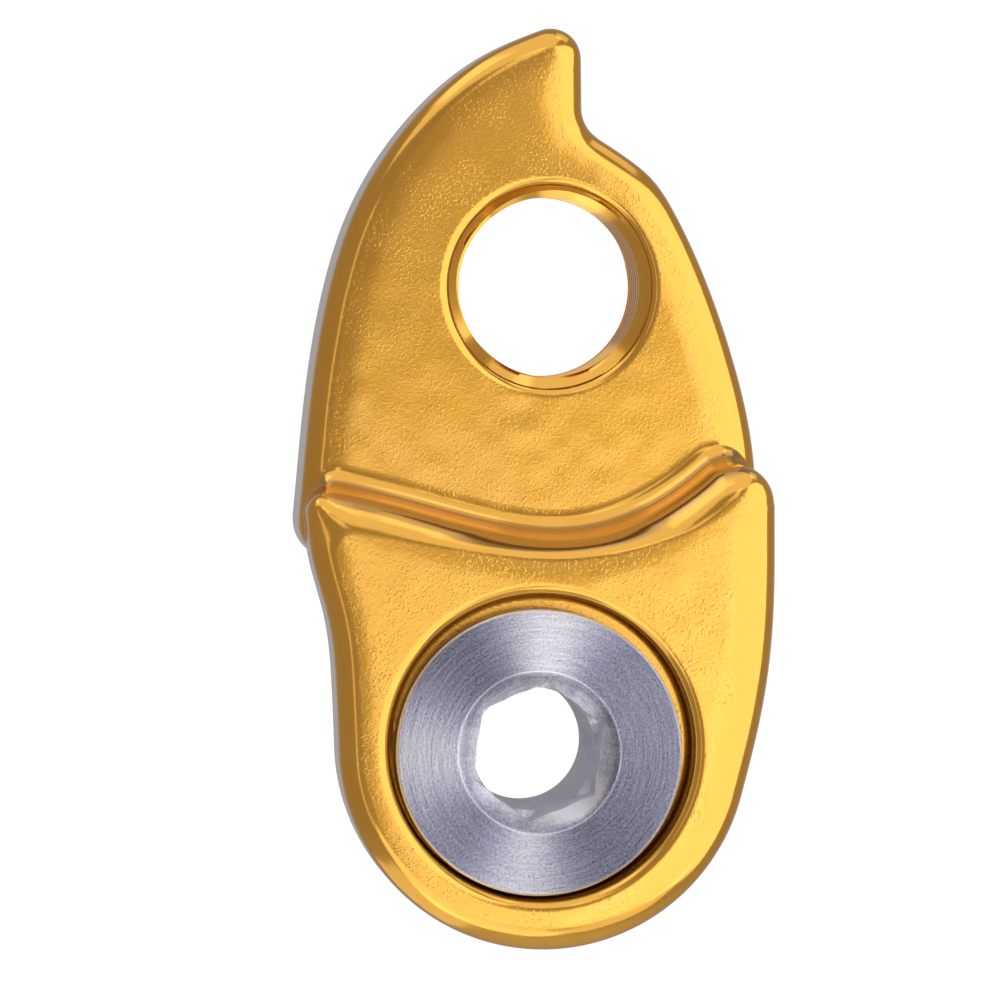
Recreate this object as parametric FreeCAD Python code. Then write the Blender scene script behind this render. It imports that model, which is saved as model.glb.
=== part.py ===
"""Rear derailleur hanger extender: a stepped link and its captive fixing bolt.

Frame: the origin is on the axis of the fixing bolt, in the plane of the hanger seat.
+Y points inboard, to the bicycle, +Z points from the fixing bolt to the derailleur thread, and
the outboard face looks along -Y. All sizes are in millimetres.
"""

import FreeCAD
import Part
import math
import os

# ---------------------------------------------------------------- driving dimensions

# link, across its thickness (Y)
SEAT_Y = 0.0  # hanger seat, the back of the lower plate
LOWER_THICKNESS = 5.5
UPPER_THICKNESS = 7.5
BACK_STEP = 5.5  # how far the upper plate stands inboard of the seat
LOWER_FRONT_Y = SEAT_Y - LOWER_THICKNESS
UPPER_BACK_Y = SEAT_Y + BACK_STEP
UPPER_FRONT_Y = UPPER_BACK_Y - UPPER_THICKNESS

# link, edges
FRONT_RIM_RADIUS = 1.15
BACK_EDGE_RADIUS = 0.45
STEP_FOOT_RADIUS = 1.0
HOOK_TIP_RADIUS = 1.5
HOOK_NOTCH_RADIUS = 1.8
HEEL_RADIUS = 1.9  # lower corners of the upper plate
LEFT_SHOULDER_RADIUS = 1.1
RIGHT_SHOULDER_RADIUS = 1.9

# outline of the lower plate, as (X, Z)
LOWER_END_CENTRE = (0.29, 0.35)
LOWER_END_RADIUS = 10.12
LEFT_SHOULDER = (-11.45, 13.15)
RIGHT_SHOULDER = (11.7, 16.85)
LOWER_LEFT_SIDE = [(-9.95, 3.12), (-10.33, 6.52), (-11.12, 9.52)]
LOWER_RIGHT_SIDE = [(10.82, 0.72), (11.38, 3.72), (11.69, 7.52), (11.72, 10.72)]
STEP_LINE = [(-7.05, 12.15), (-2.05, 10.85), (1.35, 10.5), (4.55, 11.15), (7.95, 13.15)]
LOWER_LEFT_ANGLE = 183.0  # where the round end meets the sides, in degrees
LOWER_RIGHT_ANGLE = -16.0

# outline of the upper plate, as (X, Z)
LEFT_HEEL = (-11.8, 9.52)
RIGHT_HEEL = (11.25, 10.02)
HOOK_TIP = (2.41, 36.25)
HOOK_NOTCH = (2.46, 30.7)
UPPER_LEFT_SIDE = [
    (-11.47, 12.95),
    (-11.08, 16.95),
    (-10.27, 22.02),
    (-8.61, 27.15),
    (-5.98, 31.15),
    (-2.4, 34.27),
]
UPPER_RIGHT_SIDE = [
    (4.79, 29.2),
    (5.97, 28.2),
    (7.05, 26.6),
    (8.62, 23.24),
    (9.99, 19.27),
    (10.91, 15.27),
]
BACK_STEP_MIDDLE = (0.15, 8.92)

# derailleur thread, M10 x 1 in the upper plate
THREAD_X = 0.81
THREAD_Z = 22.85
THREAD_PITCH = 1.0
THREAD_NOMINAL_RADIUS = 5.0
THREAD_HEIGHT = 5 / 8 * math.sin(math.radians(60)) * THREAD_PITCH  # of an ISO metric thread
THREAD_MINOR_RADIUS = THREAD_NOMINAL_RADIUS - THREAD_HEIGHT
LEAD_IN_RADIUS = 5.22
LEAD_IN_STEP_RADIUS = 5.0
LEAD_IN_STEP_DEPTH = 0.28
LEAD_IN_DEPTH = 0.7
BACK_CHAMFER_RADIUS = 5.05

# bolt pocket in the lower plate, drilled a little off the bolt's axis
POCKET_X = 0.12
POCKET_Z = 0.22
POCKET_RADIUS = 7.5
POCKET_DEPTH = 2.6
POCKET_RIM_ROUND = 0.3
SHANK_HOLE_RADIUS = 5.07
RING_RECESS_RADIUS = 6.6
RING_RECESS_DEPTH = 1.4

# fixing bolt, M10 x 1, hollow, with a 6 mm hexagon socket
BOLT_HEAD_RADIUS = 7.05
HEAD_BELOW_FACE = 0.2
BOLT_HEAD_FACE_Y = LOWER_FRONT_Y + HEAD_BELOW_FACE
BOLT_HEAD_SEAT_Y = LOWER_FRONT_Y + POCKET_DEPTH
BOLT_HEAD_CHAMFER = 0.2
BOLT_SHANK_RADIUS = 4.97
BOLT_TIP_Y = 8.0
BOLT_TIP_CHAMFER = 0.6
BOLT_BORE_RADIUS = 3.05
BOLT_BORE_END_CHAMFER = 0.25
SOCKET_ACROSS_FLATS = 6.0
SOCKET_TURN = 7.5  # degrees, clockwise from a corner straight up
SOCKET_DEPTH = 3.2
SOCKET_MOUTH_RADIUS = 4.0
SOCKET_MOUTH_DEPTH = 0.8

# retaining ring, sprung into a groove of the bolt
RING_THICKNESS = 0.8
RING_OUTER_RADIUS = 6.0
RING_INNER_RADIUS = 4.5
RING_BELOW_SEAT = 0.15
RING_BACK_Y = SEAT_Y - RING_BELOW_SEAT
RING_GAP = 5.0
GROOVE_RADIUS = 4.4
GROOVE_PLAY = 0.05

MARGIN = 1.0  # how far a cutting tool runs past a face
SAME_PLACE = 1e-4  # closer than this, two places are one
HEXAGON_CORNERS = 6
FULL_TURN = 360
QUARTER_TURN = 90


# ---------------------------------------------------------------- helpers

def point(x, z, y=0.0):
    return FreeCAD.Vector(x, y, z)


def spline(places, y):
    """A smooth curve through places, given as (X, Z)."""
    curve = Part.BSplineCurve()
    curve.interpolate([point(x, z, y) for x, z in places])
    return curve.toShape()


def prism(edges, y_from, y_to):
    """The solid between two Y planes whose outline is made of edges drawn at y_from."""
    face = Part.Face(Part.Wire(edges))
    return face.extrude(FreeCAD.Vector(0, y_to - y_from, 0))


def turned(profile, x=0.0, z=0.0):
    """A solid of revolution about the Y direction through (x, z), from (radius, Y) corners."""
    corners = [FreeCAD.Vector(radius, y, 0) for radius, y in profile]
    face = Part.Face(Part.makePolygon(corners + corners[:1]))
    solid = face.revolve(FreeCAD.Vector(), FreeCAD.Vector(0, 1, 0), FULL_TURN)
    solid.translate(point(x, z))
    return solid


def edges_along_y(solid, places):
    """The straight edges along Y that pass nearest to each of the given (X, Z) places."""
    chosen = []
    for x, z in places:
        upright = []
        for edge in solid.Edges:
            first, last = edge.Vertexes[0].Point, edge.Vertexes[-1].Point
            if abs(first.x - last.x) < SAME_PLACE and abs(first.z - last.z) < SAME_PLACE:
                gap = math.hypot(first.x - x, first.z - z)
                upright.append((gap, len(upright), edge))
        chosen.append(min(upright)[2])
    return chosen


def edges_in_plane(solid, y):
    """Every edge that lies wholly in the plane at y."""
    found = []
    for edge in solid.Edges:
        box = edge.BoundBox
        if abs(box.YMin - y) < SAME_PLACE and abs(box.YMax - y) < SAME_PLACE:
            found.append(edge)
    return found


def on_end_circle(angle):
    """A point of the lower plate's round end, at an angle in degrees from +X."""
    turn = math.radians(angle)
    x, z = LOWER_END_CENTRE
    return (x + LOWER_END_RADIUS * math.cos(turn), z + LOWER_END_RADIUS * math.sin(turn))


# ---------------------------------------------------------------- link

def lower_plate():
    """The plate that clamps on the hanger, with its front rim rounded."""
    y = LOWER_FRONT_Y
    left_end, right_end = on_end_circle(LOWER_LEFT_ANGLE), on_end_circle(LOWER_RIGHT_ANGLE)
    round_end = Part.Arc(
        point(*left_end, y),
        point(*on_end_circle(-QUARTER_TURN), y),
        point(*right_end, y),
    )
    edges = [
        spline([left_end] + LOWER_LEFT_SIDE + [LEFT_SHOULDER], y),
        spline([LEFT_SHOULDER] + STEP_LINE + [RIGHT_SHOULDER], y),
        spline([RIGHT_SHOULDER] + LOWER_RIGHT_SIDE[::-1] + [right_end], y),
        round_end.toShape(),
    ]
    plate = prism(edges, y, SEAT_Y)
    plate = plate.makeFillet(LEFT_SHOULDER_RADIUS, edges_along_y(plate, [LEFT_SHOULDER]))
    plate = plate.makeFillet(RIGHT_SHOULDER_RADIUS, edges_along_y(plate, [RIGHT_SHOULDER]))
    return plate.makeFillet(FRONT_RIM_RADIUS, edges_in_plane(plate, y))


def upper_plate():
    """The plate that carries the derailleur, with its hook and its stop notch."""
    y = UPPER_FRONT_Y
    back_step = Part.Arc(point(*RIGHT_HEEL, y), point(*BACK_STEP_MIDDLE, y), point(*LEFT_HEEL, y))
    edges = [
        spline([LEFT_HEEL] + UPPER_LEFT_SIDE + [HOOK_TIP], y),
        Part.makeLine(point(*HOOK_TIP, y), point(*HOOK_NOTCH, y)),
        spline([HOOK_NOTCH] + UPPER_RIGHT_SIDE + [RIGHT_HEEL], y),
        back_step.toShape(),
    ]
    plate = prism(edges, y, UPPER_BACK_Y)
    plate = plate.makeFillet(HOOK_TIP_RADIUS, edges_along_y(plate, [HOOK_TIP]))
    plate = plate.makeFillet(HOOK_NOTCH_RADIUS, edges_along_y(plate, [HOOK_NOTCH]))
    plate = plate.makeFillet(HEEL_RADIUS, edges_along_y(plate, [LEFT_HEEL, RIGHT_HEEL]))
    plate = plate.makeFillet(FRONT_RIM_RADIUS, edges_in_plane(plate, y))
    return plate.makeFillet(BACK_EDGE_RADIUS, edges_in_plane(plate, UPPER_BACK_Y))


def thread_hole():
    """Cutting tool for the M10 x 1 hole, at its minor diameter, with a stepped lead-in."""
    front, back = UPPER_FRONT_Y, UPPER_BACK_Y
    back_depth = BACK_CHAMFER_RADIUS - THREAD_MINOR_RADIUS
    profile = [
        (0, front - MARGIN),
        (LEAD_IN_RADIUS, front - MARGIN),
        (LEAD_IN_RADIUS, front),
        (LEAD_IN_STEP_RADIUS, front + LEAD_IN_STEP_DEPTH),
        (THREAD_MINOR_RADIUS, front + LEAD_IN_DEPTH),
        (THREAD_MINOR_RADIUS, back - back_depth),
        (BACK_CHAMFER_RADIUS, back),
        (BACK_CHAMFER_RADIUS, back + MARGIN),
        (0, back + MARGIN),
    ]
    return turned(profile, THREAD_X, THREAD_Z)


def head_pocket():
    """Cutting tool for the pocket of the bolt's head, wider at its rim."""
    rim = LOWER_FRONT_Y + POCKET_RIM_ROUND
    profile = [
        (0, LOWER_FRONT_Y - MARGIN),
        (POCKET_RADIUS + POCKET_RIM_ROUND + MARGIN, LOWER_FRONT_Y - MARGIN),
        (POCKET_RADIUS, rim),
        (POCKET_RADIUS, BOLT_HEAD_SEAT_Y),
        (0, BOLT_HEAD_SEAT_Y),
    ]
    return turned(profile, POCKET_X, POCKET_Z)


def shank_hole():
    """Cutting tool for the plain hole of the shank and the recess of the retaining ring."""
    recess = SEAT_Y - RING_RECESS_DEPTH
    profile = [
        (0, BOLT_HEAD_SEAT_Y - MARGIN),
        (SHANK_HOLE_RADIUS, BOLT_HEAD_SEAT_Y - MARGIN),
        (SHANK_HOLE_RADIUS, recess),
        (RING_RECESS_RADIUS, recess),
        (RING_RECESS_RADIUS, SEAT_Y + MARGIN),
        (0, SEAT_Y + MARGIN),
    ]
    return turned(profile)


def step_foot_edges(body):
    """The edges where the lower plate's wall rises from the upper plate's front face.

    They run across the link below the right shoulder. Any other edge in that plane is higher up or
    shorter than a heel's radius.
    """
    found = []
    for edge in edges_in_plane(body, UPPER_FRONT_Y):
        box = edge.BoundBox
        if box.ZMax < RIGHT_SHOULDER[1] and box.XLength > HEEL_RADIUS:
            found.append(edge)
    return found


def link_body():
    """Both plates as one forging, with the holes cut and the step's foot rounded."""
    body = lower_plate().fuse(upper_plate()).removeSplitter()
    body = body.makeFillet(STEP_FOOT_RADIUS, step_foot_edges(body))
    return body.cut(thread_hole()).cut(head_pocket()).cut(shank_hole())


# ---------------------------------------------------------------- fixing bolt

def bolt_blank():
    """The turned outside of the bolt: head, shank, ring groove and thread at its major diameter."""
    groove_front = RING_BACK_Y - RING_THICKNESS - GROOVE_PLAY
    groove_back = RING_BACK_Y + GROOVE_PLAY
    profile = [
        (0, BOLT_HEAD_FACE_Y),
        (BOLT_HEAD_RADIUS - BOLT_HEAD_CHAMFER, BOLT_HEAD_FACE_Y),
        (BOLT_HEAD_RADIUS, BOLT_HEAD_FACE_Y + BOLT_HEAD_CHAMFER),
        (BOLT_HEAD_RADIUS, BOLT_HEAD_SEAT_Y - BOLT_HEAD_CHAMFER),
        (BOLT_HEAD_RADIUS - BOLT_HEAD_CHAMFER, BOLT_HEAD_SEAT_Y),
        (BOLT_SHANK_RADIUS, BOLT_HEAD_SEAT_Y),
        (BOLT_SHANK_RADIUS, groove_front),
        (GROOVE_RADIUS, groove_front),
        (GROOVE_RADIUS, groove_back),
        (BOLT_SHANK_RADIUS, groove_back),
        (BOLT_SHANK_RADIUS, BOLT_TIP_Y - BOLT_TIP_CHAMFER),
        (BOLT_SHANK_RADIUS - BOLT_TIP_CHAMFER, BOLT_TIP_Y),
        (0, BOLT_TIP_Y),
    ]
    return turned(profile)


def socket_and_bore():
    """Cutting tool for the hexagon socket, its mouth and the bore that runs on through the bolt."""
    corner_radius = SOCKET_ACROSS_FLATS / math.sqrt(3)
    face = BOLT_HEAD_FACE_Y
    corners = []
    for number in range(HEXAGON_CORNERS):
        turn = math.radians(QUARTER_TURN - SOCKET_TURN + FULL_TURN / HEXAGON_CORNERS * number)
        x, z = corner_radius * math.cos(turn), corner_radius * math.sin(turn)
        corners.append(point(x, z, face - MARGIN))
    hexagon = Part.Face(Part.makePolygon(corners + corners[:1]))
    socket = hexagon.extrude(FreeCAD.Vector(0, SOCKET_DEPTH + MARGIN, 0))
    end = BOLT_TIP_Y - BOLT_BORE_END_CHAMFER
    bore = turned([
        (0, face - MARGIN),
        (BOLT_BORE_RADIUS, face - MARGIN),
        (BOLT_BORE_RADIUS, end),
        (BOLT_BORE_RADIUS + BOLT_BORE_END_CHAMFER + MARGIN, BOLT_TIP_Y + MARGIN),
        (0, BOLT_TIP_Y + MARGIN),
    ])
    slope = (SOCKET_MOUTH_RADIUS - SOCKET_ACROSS_FLATS / 2) / SOCKET_MOUTH_DEPTH
    mouth = turned([
        (0, face - MARGIN),
        (SOCKET_MOUTH_RADIUS + slope * MARGIN, face - MARGIN),
        (SOCKET_ACROSS_FLATS / 2, face + SOCKET_MOUTH_DEPTH),
        (0, face + SOCKET_MOUTH_DEPTH),
    ])
    return socket.fuse([bore, mouth])


def fixing_bolt():
    return bolt_blank().cut(socket_and_bore())


# ---------------------------------------------------------------- retaining ring

def retaining_ring():
    """An open spring ring that keeps the bolt in the link."""
    front = RING_BACK_Y - RING_THICKNESS
    ring = turned([
        (RING_INNER_RADIUS, front),
        (RING_OUTER_RADIUS, front),
        (RING_OUTER_RADIUS, RING_BACK_Y),
        (RING_INNER_RADIUS, RING_BACK_Y),
    ])
    gap = Part.makeBox(RING_GAP, RING_THICKNESS + 2 * MARGIN, RING_OUTER_RADIUS + MARGIN)
    gap.translate(FreeCAD.Vector(-RING_GAP / 2, front - MARGIN, -RING_OUTER_RADIUS - MARGIN))
    return ring.cut(gap)


# ---------------------------------------------------------------- output

PIECES = {
    "link_body": link_body,
    "fixing_bolt": fixing_bolt,
    "retaining_ring": retaining_ring,
}

os.makedirs("parts", exist_ok=True)
for name, make in PIECES.items():
    shape = make()
    shape.exportStep(f"parts/{name}.step")
    state = "valid" if shape.isValid() else "INVALID"
    print(name, state, "solids", len(shape.Solids), "mm3", round(shape.Volume, 2))
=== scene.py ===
import math

import bpy
import numpy as np
from mathutils import Matrix, Vector


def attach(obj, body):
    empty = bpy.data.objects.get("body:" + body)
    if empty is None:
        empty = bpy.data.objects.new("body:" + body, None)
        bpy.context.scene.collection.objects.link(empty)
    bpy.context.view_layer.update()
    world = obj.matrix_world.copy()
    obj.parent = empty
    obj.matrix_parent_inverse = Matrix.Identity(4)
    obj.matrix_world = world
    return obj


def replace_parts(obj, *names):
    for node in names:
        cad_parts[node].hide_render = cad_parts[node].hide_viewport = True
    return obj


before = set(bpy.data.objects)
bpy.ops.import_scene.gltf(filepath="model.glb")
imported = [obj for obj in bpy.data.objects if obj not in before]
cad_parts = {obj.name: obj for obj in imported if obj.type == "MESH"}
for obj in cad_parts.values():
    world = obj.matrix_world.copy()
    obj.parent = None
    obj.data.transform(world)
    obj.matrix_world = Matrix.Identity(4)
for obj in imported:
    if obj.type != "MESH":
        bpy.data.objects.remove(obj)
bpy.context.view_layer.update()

MM = 0.001

# ---------------------------------------------------------------- sizes of the part, in millimetres

# link, across its thickness (Y)
LOWER_FRONT, LOWER_BACK = -5.5, 0.0
UPPER_FRONT, UPPER_BACK = -2.0, 5.5
FRONT_RIM, LOWER_BACK_EDGE, UPPER_BACK_EDGE = 1.15, 0.2, 0.45
RIDGE_RIM = 1.5  # where the lower plate's rim crosses the upper plate
STEP_FOOT, BACK_FOOT = 0.9, 0.35
STEP_DRAFT = 0.27  # how far the step's wall leans for each millimetre of its height

# how far a front face falls back towards its rim, and over what width
RIDGE_DROOP, RIDGE_DROOP_WIDTH = 0.09, 2.1
LOWER_DROOP, LOWER_DROOP_WIDTH = 0.1275, 2.79
UPPER_DROOP, UPPER_DROOP_WIDTH = 0.15, 3.1

# how deep inside an outline a change starts, and where it is complete
CHANGE_START, RIDGE_FULL, LEAN_FULL, FOOT_FULL = 0.3, 2.5, 1.8, 1.2
CREASE_START, CREASE_FULL = 0.1, 0.8

CREASE_SPREAD = 0.35  # how widely the rims are smoothed at sharp corners of the outline
INSET = 0.006  # keeps the cast skin inside the plain outline

# the cast skin's dents: usual depth, distance apart, how many across X and Z, how far past the link
DENT, DENT_SPACING, DENT_COUNT, DENT_MARGIN = 0.0028, 0.9, (60, 90), 2
DENT_OFFSET = 4.5  # in usual depths, so that every dent goes inwards
DENT_SEED = 7

# fineness of the link's mesh and of its outlines
MESH_STEP, QUICK_MESH_STEP, OUTLINE_STEP, RUN_STEP = 0.12, 0.2, 0.1, 0.05
SMALLEST_FOOT = 0.001  # where the plates meet with no visible foot

# outline of the lower plate, as (X, Z)
LOWER_END_CENTRE, LOWER_END_RADIUS = (0.29, 0.35), 10.12
LOWER_LEFT_ANGLE, LOWER_RIGHT_ANGLE = 183.0, -16.0
LEFT_SHOULDER, LEFT_SHOULDER_RADIUS = (-11.45, 13.15), 1.1
RIGHT_SHOULDER, RIGHT_SHOULDER_RADIUS = (11.7, 16.85), 1.9
LOWER_LEFT_SIDE = [(-9.95, 3.12), (-10.33, 6.52), (-11.12, 9.52)]
LOWER_RIGHT_SIDE = [(10.82, 0.72), (11.38, 3.72), (11.69, 7.52), (11.72, 10.72)]
STEP_LINE = [(-7.05, 12.15), (-2.05, 10.85), (1.35, 10.5), (4.55, 11.15), (7.95, 13.15)]

# outline of the upper plate, as (X, Z)
LEFT_HEEL, RIGHT_HEEL, HEEL_RADIUS = (-11.8, 9.52), (11.25, 10.02), 1.9
HOOK_TIP, HOOK_TIP_RADIUS = (2.41, 36.25), 1.5
HOOK_NOTCH, HOOK_NOTCH_RADIUS = (2.46, 30.7), 1.8
HOOK_RUN_POINTS = 110  # along the straight edge between them
UPPER_LEFT_SIDE = [
    (-11.47, 12.95), (-11.08, 16.95), (-10.27, 22.02), (-8.61, 27.15), (-5.98, 31.15), (-2.4, 34.27),
]
UPPER_RIGHT_SIDE = [(4.79, 29.2), (5.97, 28.2), (7.05, 26.6), (8.62, 23.24), (9.99, 19.27), (10.91, 15.27)]
BACK_STEP_MIDDLE = (0.15, 8.92)

# holes of the link
THREAD_X, THREAD_Z = 0.81, 22.85
THREAD_PITCH, THREAD_MAJOR = 1.0, 5.0
THREAD_MINOR = THREAD_MAJOR - 0.5413 * THREAD_PITCH
THREAD_WALL = 5.02  # the hole that the thread's ridges stand in
THREAD_RIM = 0.22
LEAD_IN_RADIUS, LEAD_IN_STEP_DEPTH, LEAD_IN_DEPTH = 5.22, 0.28, 0.76
POCKET_X, POCKET_Z = 0.12, 0.22
POCKET_RADIUS, POCKET_FLOOR, POCKET_RIM, POCKET_CORNER = 7.5, -2.9, 0.6, 0.3
SHANK_HOLE, SHANK_HOLE_EDGE = 5.07, 0.15
RECESS_RADIUS, RECESS_FLOOR, RECESS_EDGE = 6.6, -1.4, 0.25

# sleeve with the derailleur thread
SLEEVE_FRONT, SLEEVE_BACK, SLEEVE_HIDDEN_RADIUS = -1.75, 5.43, 5.3
SLEEVE_PLAY = 0.02  # between the thread's roots and the hole round them
BACK_CHAMFER_RADIUS = 5.05

# fixing bolt
HEAD_RADIUS, HEAD_FACE, HEAD_SEAT = 7.05, -5.3, -2.9
FACE_CHAMFER, SEAT_CHAMFER, NECK_CHAMFER = 0.12, 0.2, 0.15
FACE_ROWS = [4.6, 5.4, 6.2]
SHANK_RADIUS, TIP_Y, TIP_CHAMFER = 4.97, 8.0, 0.6
BORE_RADIUS, BORE_END_CHAMFER = 3.05, 0.25
BORE_START = 0.2  # how far behind the socket's floor the round bore is complete
ACROSS_FLATS, SOCKET_TURN, SOCKET_DEPTH = 6.0, 7.5, 3.2
MOUTH_RADIUS, MOUTH_DEPTH = 3.95, 0.75
GROOVE_RADIUS, GROOVE_FRONT, GROOVE_BACK = 4.4, -1.0, -0.1
BOLT_THREAD_START, BOLT_THREAD_RUN_OUT = 0.4, 0.9
BOLT_ROOT_RADIUS = SHANK_RADIUS - 0.6134 * THREAD_PITCH

# flats on the thread's crests and roots, as a share of the pitch
CREST, ROOT = 0.25, 0.125

# where rows of the mesh run across one turn of each thread, as a share of the pitch
INNER_THREAD_ROWS = [-0.125, 0.0, 0.125, 0.23, 0.335, 0.4375, 0.5625, 0.665, 0.77]
OUTER_THREAD_ROWS = [-0.0625, 0.0625, 0.17, 0.28, 0.375, 0.625, 0.72, 0.83]


# ---------------------------------------------------------------- outlines

def spline(places, step=RUN_STEP):
    """Points along the natural cubic spline through places."""
    places = np.array(places, float)
    chord = np.linalg.norm(np.diff(places, axis=0), axis=1)
    knots = np.r_[0, np.cumsum(chord)]
    count = len(places)
    matrix, right = np.eye(count), np.zeros((count, 2))
    for i in range(1, count - 1):
        before, after = chord[i - 1], chord[i]
        matrix[i, i - 1:i + 2] = before, 2 * (before + after), after
        right[i] = 6 * ((places[i + 1] - places[i]) / after - (places[i] - places[i - 1]) / before)
    bend = np.linalg.solve(matrix, right)
    at = np.linspace(0, knots[-1], max(3, int(knots[-1] / step)))
    i = np.clip(np.searchsorted(knots, at, side="right") - 1, 0, count - 2)
    width = chord[i][:, None]
    a, b = (knots[i + 1] - at)[:, None] / width, (at - knots[i])[:, None] / width
    curve = a * places[i] + b * places[i + 1]
    return curve + ((a ** 3 - a) * bend[i] + (b ** 3 - b) * bend[i + 1]) * width ** 2 / 6


def arc(centre, radius, first, last, step=RUN_STEP):
    """Points on a circle, from one angle to another, in degrees."""
    count = max(3, int(abs(math.radians(last - first)) * radius / step))
    turn = np.radians(np.linspace(first, last, count))
    return np.array(centre) + radius * np.c_[np.cos(turn), np.sin(turn)]


def angle_of(offset):
    """The angle of an (X, Z) offset, in degrees."""
    return math.degrees(math.atan2(offset[1], offset[0]))


def arc_through(first, middle, last):
    """Points on the circle through three places, from the first to the last."""
    a, b, c = (np.array(p, float) for p in (first, middle, last))
    matrix = 2 * np.array([b - a, c - a])
    centre = np.linalg.solve(matrix, [b @ b - a @ a, c @ c - a @ a])
    radius = np.linalg.norm(a - centre)
    start, halfway, end = (angle_of(p - centre) for p in (a, b, c))
    if (halfway - start) % 360 > (end - start) % 360:
        return arc(centre, radius, start, start - (start - end) % 360)
    return arc(centre, radius, start, start + (end - start) % 360)


def round_corner(first, second, radius):
    """Joins two runs that meet in a corner by an arc. Gives both, shortened, with the arc between."""
    along = np.gradient(first, axis=0)
    along /= np.linalg.norm(along, axis=1)[:, None]
    leaving = second[3] - second[0]
    side = np.sign(along[-1, 0] * leaving[1] - along[-1, 1] * leaving[0])
    inward = side * np.c_[-along[:, 1], along[:, 0]]
    for i in range(len(first) - 1, 0, -1):
        centre = first[i] + radius * inward[i]
        gaps = np.linalg.norm(second - centre, axis=1)
        if gaps.min() >= radius:
            break
    j = int(gaps.argmin())
    start, end = angle_of(first[i] - centre), angle_of(second[j] - centre)
    turn = (end - start) % 360 if side > 0 else -((start - end) % 360)
    return first[:i], arc(centre, radius, start, start + turn), second[j + 1:]


def closed_outline(runs, radii):
    """One closed outline from runs that follow one another. radii[i] rounds the corner after run i."""
    runs = list(runs)
    corners = [runs[0][:0]] * len(runs)
    for i, radius in enumerate(radii):
        if radius:
            following = (i + 1) % len(runs)
            runs[i], corners[i], runs[following] = round_corner(runs[i], runs[following], radius)
    path = np.concatenate([points for pair in zip(runs, corners) for points in pair])
    apart = np.linalg.norm(path - np.roll(path, 1, axis=0), axis=1) > 1e-4
    return even_steps(path[apart], OUTLINE_STEP)


def even_steps(path, step):
    """The same closed path with points an even distance apart."""
    path = np.r_[path, path[:1]]
    reach = np.r_[0, np.cumsum(np.linalg.norm(np.diff(path, axis=0), axis=1))]
    at = np.linspace(0, reach[-1], int(reach[-1] / step) + 1)[:-1]
    return np.c_[np.interp(at, reach, path[:, 0]), np.interp(at, reach, path[:, 1])]


def lower_outline():
    round_end = arc(LOWER_END_CENTRE, LOWER_END_RADIUS, LOWER_RIGHT_ANGLE, LOWER_LEFT_ANGLE - 360)
    right_end, left_end = round_end[0], round_end[-1]
    return closed_outline([
        spline([left_end] + LOWER_LEFT_SIDE + [LEFT_SHOULDER]),
        spline([LEFT_SHOULDER] + STEP_LINE + [RIGHT_SHOULDER]),
        spline([RIGHT_SHOULDER] + LOWER_RIGHT_SIDE[::-1] + [right_end]),
        round_end,
    ], [LEFT_SHOULDER_RADIUS, RIGHT_SHOULDER_RADIUS, 0, 0])


def upper_outline():
    return closed_outline([
        spline([LEFT_HEEL] + UPPER_LEFT_SIDE + [HOOK_TIP]),
        np.linspace(HOOK_TIP, HOOK_NOTCH, HOOK_RUN_POINTS),
        spline([HOOK_NOTCH] + UPPER_RIGHT_SIDE + [RIGHT_HEEL]),
        arc_through(RIGHT_HEEL, BACK_STEP_MIDDLE, LEFT_HEEL),
    ], [HOOK_TIP_RADIUS, HOOK_NOTCH_RADIUS, HEEL_RADIUS, HEEL_RADIUS])


# ---------------------------------------------------------------- distance maps

class Map:
    """Values on a regular (X, Z) grid, read smoothly between its points."""

    def __init__(self, values, low, step):
        self.values, self.low, self.step = values, low, step

    def read(self, x, z):
        u, v = (x - self.low[0]) / self.step, (z - self.low[1]) / self.step
        i = np.clip(np.floor(u).astype(int), 1, self.values.shape[0] - 3)
        j = np.clip(np.floor(v).astype(int), 1, self.values.shape[1] - 3)
        across, along = self.weights(u - i), self.weights(v - j)
        total = 0
        for m in range(4):
            row = sum(along[n] * self.values[i + m - 1, j + n - 1] for n in range(4))
            total = total + across[m] * row
        return total

    @staticmethod
    def weights(t):
        """Catmull-Rom weights of the four points around a place."""
        return (
            ((-0.5 * t + 1) * t - 0.5) * t,
            (1.5 * t - 2.5) * t * t + 1,
            ((-1.5 * t + 2) * t + 0.5) * t,
            (0.5 * t - 0.5) * t * t,
        )


def distance_map(outline, xs, zs):
    """Distance to a closed outline, negative inside, on the grid xs by zs."""
    start, end = outline, np.roll(outline, -1, axis=0)
    run = end - start
    length2 = (run ** 2).sum(1)
    grid = np.empty((len(xs), len(zs)))
    for i, x in enumerate(xs):
        dx, dz = x - start[:, 0], zs[:, None] - start[:, 1]
        t = np.clip((dx * run[:, 0] + dz * run[:, 1]) / length2, 0, 1)
        gap = np.hypot(dx - t * run[:, 0], dz - t * run[:, 1]).min(1)
        spans = (start[:, 1] > zs[:, None]) != (end[:, 1] > zs[:, None])
        crossing = start[:, 0] + dz * run[:, 0] / np.where(run[:, 1] == 0, 1e-12, run[:, 1])
        inside = (spans & (x < crossing)).sum(1) % 2 == 1
        grid[i] = np.where(inside, -gap, gap)
    return grid


def smooth_step(x, start, full):
    """0 at start and 1 at full, with no corner at either. start may be the higher of the two."""
    t = np.clip((x - start) / (full - start), 0, 1)
    return t * t * (3 - 2 * t)


def softened(grid, step):
    """The map with its inner creases smoothed. The outline itself stays."""
    reach = int(3 * CREASE_SPREAD / step)
    weights = np.exp(-0.5 * (np.arange(-reach, reach + 1) * step / CREASE_SPREAD) ** 2)
    soft = np.pad(grid, reach, mode="reflect", reflect_type="odd")
    for axis in (0, 1):
        soft = np.apply_along_axis(np.convolve, axis, soft, weights / weights.sum(), "valid")
    return grid + (soft - grid) * smooth_step(-grid, CREASE_START, CREASE_FULL)


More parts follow.
